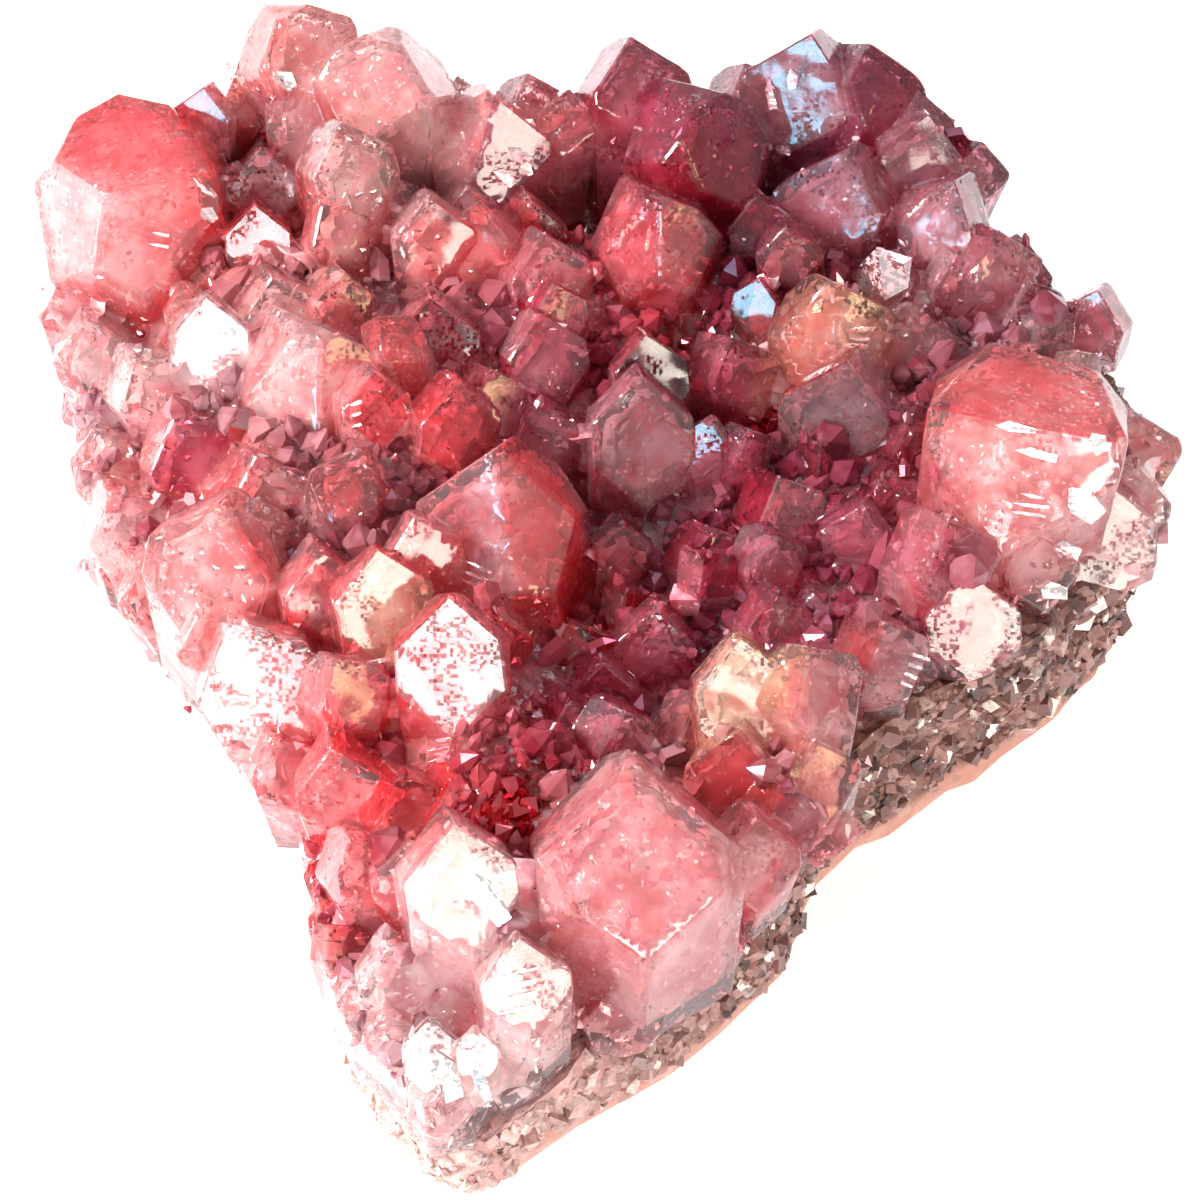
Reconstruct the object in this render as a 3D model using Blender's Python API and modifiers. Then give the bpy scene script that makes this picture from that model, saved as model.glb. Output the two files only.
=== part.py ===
"""Dyed amethyst cluster: a crust of stubby quartz points grown on a broken slab of host rock.

The rock is the outer shell of a geode: its underside is gently convex with one flat spot to rest
on, and its walls are broken. The crust follows an uneven seam on top of the rock, and its points
lean outwards round the rim of a shallow bowl. Metres, +Z up, origin on the flat spot under the
middle.
"""

import math
import random
from typing import NamedTuple

import bmesh
import bpy
from mathutils import Matrix, Vector, noise
from mathutils.geometry import intersect_point_line

MM = 0.001

# Driving dimensions, in millimetres.
ROCK_TOP = 30.0  # height of the uncut rock, above every point of the seam
SKIN_RADIUS = 240.0  # the geode's outer skin, which curves up from the flat spot
SKIN_SINK = 3.2  # how far the skin's lowest point would lie below the flat spot
SEAM_HEIGHT = 12.8  # middle of the seam between rock and crust
SEAM_RISE = 0.20  # the seam climbs towards +X
SEAM_SHELF = 30.0  # as far as this, where it levels off
SEAM_JAG = 3.0  # how far the seam wanders up and down
SEAM_GAP = 0.3  # clear gap left along the seam
SEAM_CELLS = 22
ROCK_INSET = 0.8  # the rock stands back from the outline on the left
CRUST_INSET = 1.3  # the crust stands back from it everywhere else, twice as far on the right
CRUST_DEPTH = 3.0  # least depth of the crust above the seam
BOWL_FLOOR = 15.5  # top of the crust between the points, in the middle of the bowl
BOWL_RISE = 8.0  # how much higher it lies round the bowl
BOWL_CENTRE = Vector((10.0, 2.0))
BOWL_RADIUS = (9.0, 27.0)  # the floor ends at the first, and the crust stops rising at the second
BOWL_STRETCH = 0.8  # the bowl's width as a part of its length, which runs from front to back
SHOULDER = (4.0, 12.0)  # how far in from the outline the crust starts to rise, and stops
MIDDLE = Vector((2.0, 4.0))
CRUST_CELLS = 26
RHOMB_SLOPE = math.radians(51.8)  # quartz tip faces, measured from the plane across the axis
ROOT_DEPTH = 3.0  # how far the points reach below the seam before they are cut along it
STONE_GRAIN = 1.9  # size of the rock's fracture facets
STONE_SWELL = (8.0, 4.5)  # size and depth of the rock's large hollows
STONE_CHIPS = (4.0, 4.0)  # and of its chips
RIND_HEIGHT = (1.0, 7.0)  # the rock is smooth below the first and fully rough above the second
ROCK_TRIANGLES = 1150
KNOB = (12.6, -26.6, 5.0, 4.2)  # a lump on the front wall: x, y, z and radius
SKIN_RINGS = 64
KNOB_RINGS = 12
CUTTER_REACH = 75.0
WELD = 0.01

# The broken slab from above, in millimetres, anticlockwise from the front tip.
OUTLINE = (
    (-11.5, -51.5), (-3.0, -44.0), (3.5, -39.5), (8.5, -35.0), (12.5, -29.5), (16.0, -24.0),
    (17.5, -19.0), (20.5, -15.0), (26.5, -11.0), (32.0, -6.5), (40.0, -0.5), (44.5, 4.5),
    (46.3, 9.0), (46.8, 17.0), (45.0, 25.0), (42.0, 33.0), (35.0, 41.0), (28.0, 47.0),
    (16.0, 49.5), (2.0, 49.5), (-12.0, 50.5), (-26.0, 52.0), (-37.0, 50.0), (-46.5, 45.0),
    (-49.0, 37.0), (-47.0, 30.0), (-46.5, 22.0), (-46.0, 15.0), (-41.5, 8.0), (-36.0, 0.0),
    (-31.5, -7.0), (-28.0, -12.5), (-25.0, -18.5), (-23.0, -27.0), (-22.0, -36.0),
    (-18.8, -44.0),
)


class Point(NamedTuple):
    """One quartz point, in millimetres and degrees.

    The lean is how far its axis runs sideways for each unit that it rises. The turn brings its main
    tip face round from the front. The chisel is how much that face dominates the tip, as a part of
    the width, and the shoulder is the same for the face on its left, or on its right where it is
    negative. The blunt is how much of the tip is broken off, as a part of the width.
    """

    x: float
    y: float
    z: float
    lean_x: float
    lean_y: float
    width: float
    turn: float
    chisel: float = 0.0
    shoulder: float = 0.0
    blunt: float = 0.0


LEFT_RIM = (
    Point(-43.6, 39.0, 37.0, -0.12, -0.16, 21.5, 6, 0.14, 0.12, 0.32),
    Point(-36.0, 48.5, 31.5, 0.00, -0.07, 7.0, -14, 0.30),
    Point(-33.0, 54.0, 29.0, -0.15, 0.15, 8.0, 30, 0.00),
    Point(-34.1, 23.4, 30.0, 0.00, -0.05, 8.5, 6, 0.30),
    Point(-30.5, 36.0, 29.0, 0.00, -0.06, 7.5, 5, 0.25),
    Point(-30.5, 44.0, 28.5, 0.00, 0.00, 9.0, 5, 0.10),
    Point(-24.5, 18.5, 32.0, 0.05, -0.05, 15.5, 32, 0.10, 0.12, 0.12),
    Point(-32.5, -0.5, 29.5, 0.00, -0.15, 13.5, -22, 0.30),
    Point(-23.0, -2.5, 27.0, 0.05, -0.05, 9.5, 15, 0.05),
    Point(-20.5, 6.1, 30.0, 0.15, 0.05, 8.5, -20, 0.10),
    Point(-29.0, 8.5, 26.5, -0.05, -0.05, 9.0, 25, 0.10),
    Point(-18.0, -6.3, 31.0, 0.00, 0.00, 10.5, 15, 0.30),
    Point(-12.0, -13.5, 33.0, 0.00, 0.00, 11.5, 3, 0.34),
    Point(-33.8, -4.5, 21.0, -0.20, -0.25, 7.5, 15, 0.10),
    Point(-30.3, -11.5, 27.5, -0.30, -0.06, 12.5, 20, 0.34),
    Point(-26.8, -17.0, 20.5, -0.10, -0.15, 8.5, 25, 0.10),
    Point(-21.5, -13.9, 27.0, -0.10, -0.05, 9.0, 40, 0.00),
    Point(-21.5, -21.9, 25.0, -0.10, -0.10, 9.5, 10, 0.10),
    Point(-16.0, -24.1, 24.5, 0.00, -0.10, 9.5, 30, 0.10),
    Point(-46.0, 28.5, 22.0, -0.15, -0.15, 8.5, 10, 0.20),
    Point(-40.5, 22.0, 25.0, -0.15, -0.15, 9.0, 35, 0.00),
    Point(-36.3, 15.0, 25.0, -0.10, -0.10, 10.5, 28, 0.10),
    Point(-48.0, 36.0, 21.0, -0.10, -0.10, 9.5, 20, 0.10),
    Point(-44.0, 18.5, 19.0, -0.12, -0.15, 8.5, 5, 0.20),
    Point(-42.5, 11.0, 19.5, -0.20, -0.20, 9.5, 30, 0.00),
    Point(-39.0, 4.5, 17.0, -0.15, -0.20, 8.5, 10, 0.10),
)
BACK_RIM = (
    Point(-28.5, 55.0, 36.5, -0.15, 0.15, 12.5, 38, 0.04, 0.0, 0.10),
    Point(-19.0, 51.5, 37.0, 0.05, 0.10, 15.5, -20, 0.06, 0.0, 0.10),
    Point(-26.5, 49.0, 33.0, -0.05, -0.05, 10.5, 0, 0.20),
    Point(-22.4, 39.0, 36.0, 0.00, -0.05, 10.5, 28, 0.08),
    Point(-12.8, 54.0, 28.0, 0.00, 0.30, 7.0, 20, 0.10),
    Point(-6.5, 53.5, 29.0, 0.05, 0.30, 7.5, 40, 0.00),
    Point(-9.8, 46.3, 33.0, 0.05, -0.05, 13.5, 10, 0.10, 0.10),
    Point(-2.8, 48.5, 31.5, 0.10, 0.10, 7.0, 0, 0.20),
    Point(3.0, 51.5, 35.0, 0.00, 0.15, 11.5, 22, 0.10),
    Point(9.2, 43.5, 36.5, 0.05, 0.00, 15.0, 40, 0.08, 0.0, 0.10),
    Point(13.1, 51.5, 32.0, 0.00, 0.20, 9.0, 35, 0.00),
    Point(18.5, 50.5, 36.0, 0.00, -0.05, 12.0, -20, 0.20),
    Point(24.5, 51.5, 34.0, 0.12, 0.15, 12.0, 32, 0.05),
    Point(29.3, 50.0, 30.0, 0.25, 0.25, 9.0, 40, 0.10),
    Point(29.6, 45.0, 31.5, 0.20, 0.00, 9.5, 0, 0.10),
    Point(34.5, 46.5, 27.0, 0.30, 0.15, 8.0, 20, 0.00),
    Point(31.3, 37.2, 31.0, 0.15, -0.10, 11.0, -32, 0.05),
    Point(21.3, 40.0, 32.0, 0.00, -0.05, 13.0, -26, 0.08),
    Point(35.2, 32.6, 29.5, 0.10, -0.05, 9.0, 25, 0.05),
    Point(38.0, 34.3, 26.5, 0.25, 0.05, 8.0, 0, 0.20),
    Point(31.5, 31.0, 28.0, 0.00, -0.10, 7.0, 20, 0.10),
    Point(38.0, 30.5, 25.5, 0.15, -0.20, 8.0, 35, 0.00),
    Point(43.2, 27.5, 27.0, -0.03, -0.06, 8.5, -24, 0.20),
    Point(40.0, 26.4, 25.5, 0.10, -0.10, 7.0, 30, 0.10),
)
BOWL = (
    Point(5.0, 33.2, 33.5, 0.00, -0.15, 13.5, 30, 0.05, 0.05, 0.06),
    Point(4.3, 20.0, 29.0, 0.00, 0.00, 8.5, 14, 0.30),
    Point(4.0, 13.2, 30.5, 0.08, -0.10, 11.0, 8, 0.40),
    Point(-9.2, 2.6, 33.5, -0.10, 0.00, 17.0, -20, 0.18, -0.12),
    Point(20.4, 24.5, 31.0, 0.02, -0.04, 13.0, 27, 0.10, 0.10),
    Point(25.5, 31.2, 28.0, -0.02, -0.06, 6.0, -22, 0.35),
    Point(13.7, 28.6, 27.5, -0.02, -0.05, 5.0, -20, 0.35),
    Point(9.0, 13.3, 26.0, -0.01, -0.03, 4.5, -21, 0.35),
    Point(-15.0, 35.0, 31.0, 0.00, -0.05, 9.5, 10, 0.10),
    Point(-10.8, 35.4, 30.0, 0.05, 0.00, 8.5, -15, 0.10),
    Point(-14.8, 24.7, 29.0, 0.00, 0.00, 10.0, 8, 0.10),
    Point(-5.0, 23.0, 28.5, 0.00, -0.05, 9.5, 20, 0.20),
    Point(-4.8, 32.0, 29.5, 0.00, 0.00, 9.0, 20, 0.10),
    Point(-3.6, 27.5, 28.0, 0.05, -0.05, 6.0, 25, 0.30),
    Point(-9.5, 18.3, 27.0, 0.00, 0.00, 9.0, 30, 0.00),
    Point(11.7, 22.0, 27.0, 0.05, 0.00, 9.0, 40, 0.10),
    Point(21.0, 18.0, 28.0, 0.00, -0.15, 12.5, -18, 0.12),
    Point(28.0, 25.0, 27.0, 0.05, -0.10, 10.0, 15, 0.10),
    Point(27.5, 15.5, 25.5, 0.00, -0.10, 9.0, 30, 0.10),
    Point(15.5, 8.5, 24.0, 0.00, -0.05, 9.0, 34, 0.04),
    Point(9.0, 4.0, 23.0, 0.00, 0.00, 8.0, 33, 0.00),
    Point(22.0, 4.5, 24.0, 0.05, -0.10, 9.0, -10, 0.20),
    Point(15.0, -4.0, 23.5, 0.10, -0.05, 8.0, 20, 0.10),
    Point(4.5, -5.0, 22.5, 0.00, -0.05, 8.5, 0, 0.10),
    Point(-2.5, -15.0, 23.0, 0.00, -0.10, 8.5, 25, 0.00),
    Point(-6.5, -22.5, 23.5, -0.05, -0.05, 8.0, 10, 0.10),
    Point(8.5, -14.5, 23.0, 0.10, 0.05, 8.5, 40, 0.10),
    Point(-10.5, -28.0, 24.0, 0.00, 0.00, 8.0, 15, 0.10),
)
RIGHT_RIM = (
    Point(36.6, 9.0, 40.0, 0.06, -0.02, 21.0, -11, 0.10, 0.0, 0.34),
    Point(42.5, 4.8, 27.0, 0.00, 0.01, 12.0, 5, 0.28),
    Point(45.8, 14.5, 25.5, 0.08, -0.05, 11.0, 25, 0.00),
    Point(45.5, 9.0, 25.0, 0.10, -0.10, 9.5, 0, 0.10),
    Point(29.0, -0.8, 29.0, 0.08, -0.10, 11.5, 34, 0.06),
    Point(31.0, -4.5, 26.0, 0.00, 0.02, 10.0, 7, 0.28),
    Point(37.0, -0.2, 26.0, 0.10, -0.20, 9.0, 20, 0.10),
    Point(11.6, -16.6, 31.6, 0.00, 0.00, 10.4, 8, 0.36),
    Point(17.2, -16.4, 31.5, 0.04, 0.00, 9.6, 50, 0.12),
    Point(11.2, -21.0, 26.5, 0.00, 0.02, 10.4, -12, 0.10),
    Point(16.8, -21.8, 26.5, 0.04, 0.00, 10.2, 28, 0.08),
    Point(18.6, -24.6, 21.5, 0.10, -0.05, 7.5, 20, 0.10),
    Point(23.5, -10.0, 26.5, 0.10, -0.15, 9.5, 35, 0.00),
)
FRONT_TIP = (
    Point(3.0, -32.0, 35.5, 0.02, 0.12, 19.5, 6, 0.08, 0.0, 0.06),
    Point(-11.2, -35.2, 32.5, 0.00, 0.05, 11.5, 14, 0.15),
    Point(-15.0, -33.0, 27.0, -0.10, -0.15, 8.5, 0, 0.20),
    Point(-19.5, -31.0, 25.5, -0.15, -0.15, 9.0, 30, 0.00),
    Point(-13.2, -46.0, 21.5, 0.00, 0.06, 5.2, 3, 0.55),
    Point(-9.6, -46.4, 21.0, 0.00, 0.06, 4.2, 3, 0.60),
    Point(-6.0, -42.0, 27.0, 0.00, 0.07, 9.0, 13, 0.22),
    Point(-16.5, -39.5, 22.5, -0.10, -0.15, 8.0, 15, 0.10),
    Point(-7.5, -46.0, 19.5, 0.00, -0.15, 7.5, 0, 0.10),
    Point(-12.0, -48.0, 16.5, -0.05, -0.10, 7.5, 30, 0.00),
    Point(12.5, -30.6, 27.0, 0.10, -0.15, 9.5, 10, 0.10),
    Point(15.0, -25.5, 25.0, 0.15, -0.10, 9.0, 30, 0.00),
    Point(8.5, -35.0, 22.0, 0.10, -0.20, 8.5, 0, 0.10),
    Point(1.5, -41.5, 20.0, 0.00, -0.15, 8.5, 20, 0.10),
)

# Small points that fill the bowl between the others, spread as seeds are in a sunflower.
FILLER_STEP = 3.6
FILLER_COUNT = 260
FILLER_WIDTH = (5.5, 9.0)
FILLER_RISE = (2.5, 7.5)
FILLER_CLEARANCE = 0.56  # of the mean of the two widths
FILLER_LEAN = ((-0.3, 0.3), (-0.3, 0.2))
FILLER_CHISEL = 0.1
FILLER_INSET = 5.0

# Broken columns that stand in the crust's outer wall, between the rim and the seam.
COLUMN_STEP = 4.8
COLUMN_WIDTH = (5.0, 7.5)
COLUMN_RISE = (3.0, 9.5)
COLUMN_LEAN = (0.0, 0.16)
COLUMN_CHISEL = 0.18
COLUMN_INSET = 2.0

# Every point's section, and how its tip faces differ.
FOOT_TAPER = 0.88  # a point's foot is narrower than its shoulders
SQUEEZE = ((0.88, 1.0), (0.94, 1.08))
MAIN_LIFT = (0.0, 0.05)  # how far the main tip faces pass from the tip, in widths
MINOR_LIFT = (0.18, 0.34)
CHIPPED_WIDTH = 10.5  # points at least this wide have chipped shoulders
CHIPS = 2
CHIP_SEED = (10, 20, 30)  # how a point's place picks its chips
CHIP_SLOPE = (0.2, 0.8)  # how steeply a chip faces up
CHIP_DEPTH = (0.35, 0.60)  # how far below the tip a chip is centred, in widths
CHIP_REACH = (0.36, 0.43)  # and how far out from the axis
BREAK_TILT = 0.25  # a broken tip's face leans this far away from the main tip face
POINT_SEED = 21

# The uncut pieces and the cutters reach down to these heights, well below what is kept.
ROCK_BOTTOM = -6.0
CRUST_BOTTOM = -8.0
CRUST_BLOCK_BOTTOM = -15.0
ROCK_BLOCK_BOTTOM = -20.0
SEAM_BLOCK_BOTTOM = -25.0


def clear_scene():
    for obj in list(bpy.data.objects):
        bpy.data.objects.remove(obj)


def named_collection(name, shown=True):
    collection = bpy.data.collections.new(name)
    bpy.context.scene.collection.children.link(collection)
    collection.hide_render = not shown
    return collection


def material(name, colour, roughness):
    made = bpy.data.materials.new(name)
    made.use_nodes = True
    shader = made.node_tree.nodes["Principled BSDF"]
    shader.inputs["Base Color"].default_value = (*colour, 1.0)
    shader.inputs["Roughness"].default_value = roughness
    shader.inputs["Metallic"].default_value = 0.0
    return made


def object_of(bm, name, collection):
    mesh = bpy.data.meshes.new(name)
    bm.to_mesh(mesh)
    bm.free()
    obj = bpy.data.objects.new(name, mesh)
    collection.objects.link(obj)
    return obj


def as_helper(obj):
    obj.hide_render = True
    obj.display_type = "WIRE"
    return obj


def bake(obj):
    """Replaces an object's mesh by what its modifiers make of it."""
    graph = bpy.context.evaluated_depsgraph_get()
    obj.data = bpy.data.meshes.new_from_object(obj.evaluated_get(graph))
    obj.modifiers.clear()


def boolean(obj, other, operation, use_self=False):
    step = obj.modifiers.new(f"{operation.lower()} {other.name}", "BOOLEAN")
    step.operation = operation
    step.object = other
    step.solver = "EXACT"
    step.use_self = use_self


# Surfaces that the pieces share. Heights are in millimetres above the flat spot.


def seam_height(x, y):
    """The seam between rock and crust: a tilted plane that wanders."""
    wander = noise.noise(Vector((x * 0.11, y * 0.11, 3.7)))
    return SEAM_HEIGHT + SEAM_RISE * min(x, SEAM_SHELF) + SEAM_JAG * wander


def seam_gap_height(x, y):
    return seam_height(x, y) + SEAM_GAP


def eased(value, low, high):
    """Nothing at low, one at high, and smooth between."""
    share = min(max((value - low) / (high - low), 0.0), 1.0)
    return share * share * (3 - 2 * share)


def inward(x, y):
    """How far a place lies within the outline, or zero outside it."""
    if not is_inside(OUTLINE, x, y):
        return 0.0
    place = Vector((x, y))
    nearest = CUTTER_REACH
    for start, end in zip(OUTLINE, OUTLINE[1:] + OUTLINE[:1]):
        on_edge, share = intersect_point_line(place, Vector(start), Vector(end))
        if 0.0 <= share <= 1.0:
            nearest = min(nearest, (on_edge.to_2d() - place).length)
        nearest = min(nearest, (Vector(start) - place).length)
    return nearest


def crust_height(x, y):
    """The crust between the points: high all round, low in the bowl and towards the outline."""
    away = Vector((x, y)) - BOWL_CENTRE
    out = math.hypot(away.x, away.y * BOWL_STRETCH)
    rise = eased(out, *BOWL_RADIUS) * eased(inward(x, y), *SHOULDER)
    return max(BOWL_FLOOR + BOWL_RISE * rise, seam_height(x, y) + CRUST_DEPTH)


def block_under(name, height_of, bottom, cells, collection):
    """A closed block whose top follows height_of and whose underside is flat at bottom."""
    bm = bmesh.new()
    bmesh.ops.create_grid(bm, x_segments=cells, y_segments=cells, size=CUTTER_REACH * MM)
    for vert in bm.verts:
        vert.co.z = height_of(vert.co.x / MM, vert.co.y / MM) * MM
    top = bmesh.ops.triangulate(bm, faces=list(bm.faces), quad_method="FIXED")["faces"]
    made = bmesh.ops.extrude_face_region(bm, geom=top, use_keep_orig=True)
    for vert in (item for item in made["geom"] if isinstance(item, bmesh.types.BMVert)):
        vert.co.z = bottom * MM
    bmesh.ops.recalc_face_normals(bm, faces=list(bm.faces))
    return as_helper(object_of(bm, name, collection))


def shifted(outline, sideways, outward):
    """The outline moved along X, and outwards from the middle, in millimetres."""
    moved = []
    for point in map(Vector, outline):
        away = (point - MIDDLE).normalized() * outward
        moved.append((point.x + sideways + away.x, point.y + away.y))
    return tuple(moved)


def rock_outline():
    return shifted(OUTLINE, ROCK_INSET, -ROCK_INSET)


def crust_outline():
    return shifted(OUTLINE, -CRUST_INSET, -CRUST_INSET)


def slab(name, outline, low, high, collection):
    """The outline, in millimetres, filled and extruded from low to high."""
    curve = bpy.data.curves.new(name, "CURVE")
    curve.dimensions = "2D"
    curve.fill_mode = "BOTH"
    curve.extrude = (high - low) / 2 * MM
    spline = curve.splines.new("POLY")
    spline.points.add(len(outline) - 1)
    spline.use_cyclic_u = True
    spline.use_smooth = False
    for point, (x, y) in zip(spline.points, outline):
        point.co = (x * MM, y * MM, 0.0, 1.0)
    drawn = bpy.data.objects.new(name + " outline", curve)
    drawn.location.z = (high + low) / 2 * MM
    collection.objects.link(drawn)
    bpy.context.view_layer.update()
    graph = bpy.context.evaluated_depsgraph_get()
    mesh = bpy.data.meshes.new_from_object(drawn.evaluated_get(graph))
    bm = bmesh.new()
    bm.from_mesh(mesh)
    bmesh.ops.transform(bm, matrix=drawn.matrix_world, verts=list(bm.verts))
    bmesh.ops.remove_doubles(bm, verts=list(bm.verts), dist=WELD * MM)
    bmesh.ops.recalc_face_normals(bm, faces=list(bm.faces))
    bpy.data.objects.remove(drawn)
    return object_of(bm, name, collection)


def ball(name, centre, radius, rings, collection):
    bm = bmesh.new()
    bmesh.ops.create_uvsphere(bm, u_segments=rings, v_segments=rings, radius=radius * MM)
    bmesh.ops.translate(bm, verts=list(bm.verts), vec=Vector(centre) * MM)
    return as_helper(object_of(bm, name, collection))


def ground_block(collection):
    bm = bmesh.new()
    bmesh.ops.create_cube(bm, size=2 * CUTTER_REACH * MM)
    bmesh.ops.translate(bm, verts=list(bm.verts), vec=(0, 0, -CUTTER_REACH * MM))
    return as_helper(object_of(bm, "ground", collection))


def even_faces(obj):
    remesh = obj.modifiers.new("even faces", "REMESH")
    remesh.mode = "VOXEL"
    remesh.voxel_size = STONE_GRAIN * MM


def roughen(obj, kind, size, depth):
    """Moves the rock's surface in and out, but not its smooth rind."""
    texture = bpy.data.textures.new(f"rock {kind.lower()}", kind)
    texture.noise_scale = size * MM
    step = obj.modifiers.new(f"rough {kind.lower()}", "DISPLACE")
    step.texture = texture
    step.texture_coords = "LOCAL"
    step.vertex_group = "above the rind"
    step.strength = depth * MM
    step.mid_level = 0.5


def weigh_rind(obj):
    """Weights that rise from nothing at the rind to one above it."""
    low, high = RIND_HEIGHT
    group = obj.vertex_groups.new(name="above the rind")
    for vert in obj.data.vertices:
        rise = (vert.co.z / MM - low) / (high - low)
        group.add([vert.index], min(max(rise, 0.0), 1.0), "REPLACE")


def rock_matrix(parts, helpers):
    """The broken slab of host rock, rough on its walls and cut flat where it rests."""
    rock = slab("rock_matrix", rock_outline(), ROCK_BOTTOM, ROCK_TOP, parts)
    skin_middle = (0, 0, SKIN_RADIUS - SKIN_SINK)
    skin = ball("outer skin", skin_middle, SKIN_RADIUS, SKIN_RINGS, helpers)
    boolean(rock, skin, "INTERSECT")
    knob = ball("knob", KNOB[:3], KNOB[3], KNOB_RINGS, helpers)
    boolean(rock, knob, "UNION")
    even_faces(rock)
    bake(rock)
    weigh_rind(rock)
    roughen(rock, "CLOUDS", *STONE_SWELL)
    roughen(rock, "VORONOI", *STONE_CHIPS)
    even_faces(rock)
    thin = rock.modifiers.new("facets", "DECIMATE")
    thin.ratio = ROCK_TRIANGLES / len(rock.data.polygons)
    boolean(rock, ground_block(helpers), "DIFFERENCE")
    seam = block_under("under the seam", seam_height, ROCK_BLOCK_BOTTOM, SEAM_CELLS, helpers)
    boolean(rock, seam, "INTERSECT")
    bake(rock)
    return rock


def tip_lifts(point, rng):
    """How far each of the six tip faces lies beyond the tip, as parts of the width.

    Every other face is a main one, which passes near the tip. The three minor ones only take its
    corners off, unless the shoulder brings one of them in.
    """
    lifts = []
    for side in range(6):
        lifts.append(rng.uniform(*(MINOR_LIFT if side % 2 else MAIN_LIFT)))
    lifts[0] -= point.chisel
    if point.shoulder > 0:
        lifts[5] = -point.shoulder
    elif point.shoulder < 0:
        lifts[1] = point.shoulder
    return lifts


def cut_flat(made, centre, facing):
    """Cuts off what lies beyond a plane, and closes the cut."""
    geometry = made.verts[:] + made.edges[:] + made.faces[:]
    cut = bmesh.ops.bisect_plane(
        made, geom=geometry, plane_co=centre, plane_no=facing, clear_outer=True
    )
    rim = [item for item in cut["geom_cut"] if isinstance(item, bmesh.types.BMEdge)]
    if rim:
        bmesh.ops.contextual_create(made, geom=rim)


def chip_shoulders(made, point):
    """Breaks a few corners off a large point, between its sides and its tip faces."""
    rng = random.Random(round(sum(map(math.prod, zip(CHIP_SEED, point[:3])))))
    for _ in range(CHIPS):
        bearing = rng.uniform(0, math.tau)
        rise = rng.uniform(*CHIP_SLOPE)
        facing = Vector((math.cos(bearing), math.sin(bearing), rise)).normalized()
        centre = facing * rng.uniform(*CHIP_REACH) - Vector((0, 0, rng.uniform(*CHIP_DEPTH)))
        cut_flat(made, centre * point.width, facing)


def quartz_point(crust, point, root, rng):
    """Adds one point: a six-sided column closed by six tip faces.

    The column runs down to the height root, tapering a little, and its section is slightly uneven.
    """
    axis = Vector((point.lean_x, point.lean_y, 1.0)).normalized()
    length = (point.z - root) / axis.z
    radius = point.width / 2
    made = bmesh.new()
    bmesh.ops.create_cone(
        made, cap_ends=True, segments=6, radius1=radius * FOOT_TAPER, radius2=radius, depth=length
    )
    bmesh.ops.translate(made, verts=list(made.verts), vec=(0, 0, -length / 2))
    squeeze = Matrix.Diagonal((rng.uniform(*SQUEEZE[0]), rng.uniform(*SQUEEZE[1]), 1.0, 1.0))
    bmesh.ops.transform(made, matrix=squeeze, verts=list(made.verts))
    for side, lift in enumerate(tip_lifts(point, rng)):
        bearing = math.radians(side * 60 - 90)
        facing = Vector((
            math.cos(bearing) * math.sin(RHOMB_SLOPE),
            math.sin(bearing) * math.sin(RHOMB_SLOPE),
            math.cos(RHOMB_SLOPE),
        ))
        cut_flat(made, (0, 0, lift * point.width), facing)
    if point.width >= CHIPPED_WIDTH:
        chip_shoulders(made, point)
    if point.blunt:
        cut_flat(made, (0, 0, -point.blunt * point.width), (0, BREAK_TILT, 1))
    spin = Matrix.Rotation(math.radians(point.turn), 4, "Z")
    stand = Vector((0, 0, 1)).rotation_difference(axis).to_matrix().to_4x4()
    tip = Vector((point.x, point.y, point.z)) * MM
    place = Matrix.Translation(tip) @ stand @ spin @ Matrix.Scale(MM, 4)
    bmesh.ops.transform(made, matrix=place, verts=list(made.verts))
    bmesh.ops.recalc_face_normals(made, faces=list(made.faces))
    mesh = bpy.data.meshes.new("point")
    made.to_mesh(mesh)
    made.free()
    crust.from_mesh(mesh)
    bpy.data.meshes.remove(mesh)


def is_inside(outline, x, y):
    """Whether a place lies within the outline, by counting the edges to one side of it."""
    inside = False
    for (x1, y1), (x2, y2) in zip(outline, outline[1:] + outline[:1]):
        if (y1 > y) != (y2 > y) and x < x1 + (y - y1) / (y2 - y1) * (x2 - x1):
            inside = not inside
    return inside


def filler_points(taken, rng):
    """Small points for the places that the chosen ones leave free."""
    fillers = []
    room = shifted(OUTLINE, 0.0, -FILLER_INSET)
    for number in range(FILLER_COUNT):
        angle = number * math.pi * (3 - math.sqrt(5))
        out = FILLER_STEP * math.sqrt(number)
        x = MIDDLE.x + out * math.cos(angle)
        y = MIDDLE.y + out * math.sin(angle)
        width = rng.uniform(*FILLER_WIDTH)
        rise = rng.uniform(*FILLER_RISE)
        lean = [rng.uniform(*limits) for limits in FILLER_LEAN]
        turn = rng.uniform(0, 60)
        free = all(
            math.hypot(x - other.x, y - other.y) > FILLER_CLEARANCE * (width + other.width) / 2
            for other in taken + tuple(fillers)
        )
        if free and is_inside(room, x, y):
            top = crust_height(x, y) + rise
            fillers.append(Point(x, y, top, *lean, width, turn, FILLER_CHISEL))
    return fillers


def column_points(rng):
    """The broken columns of the crust's wall, leaning out a little."""
    corners = [Vector(corner) for corner in shifted(crust_outline(), 0.0, -COLUMN_INSET)]
    columns = []
    carried = 0.0
    for start, end in zip(corners, corners[1:] + corners[:1]):
        along = end - start
        outward = Vector((along.y, -along.x)).normalized()
        while carried < along.length:
            x, y = start + along.normalized() * carried
            lean = outward * rng.uniform(*COLUMN_LEAN)
            top = seam_height(x, y) + rng.uniform(*COLUMN_RISE)
            width = rng.uniform(*COLUMN_WIDTH)
            columns.append(Point(x, y, top, *lean, width, rng.uniform(0, 60), COLUMN_CHISEL))
            carried += COLUMN_STEP
        carried -= along.length
    return columns


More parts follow.
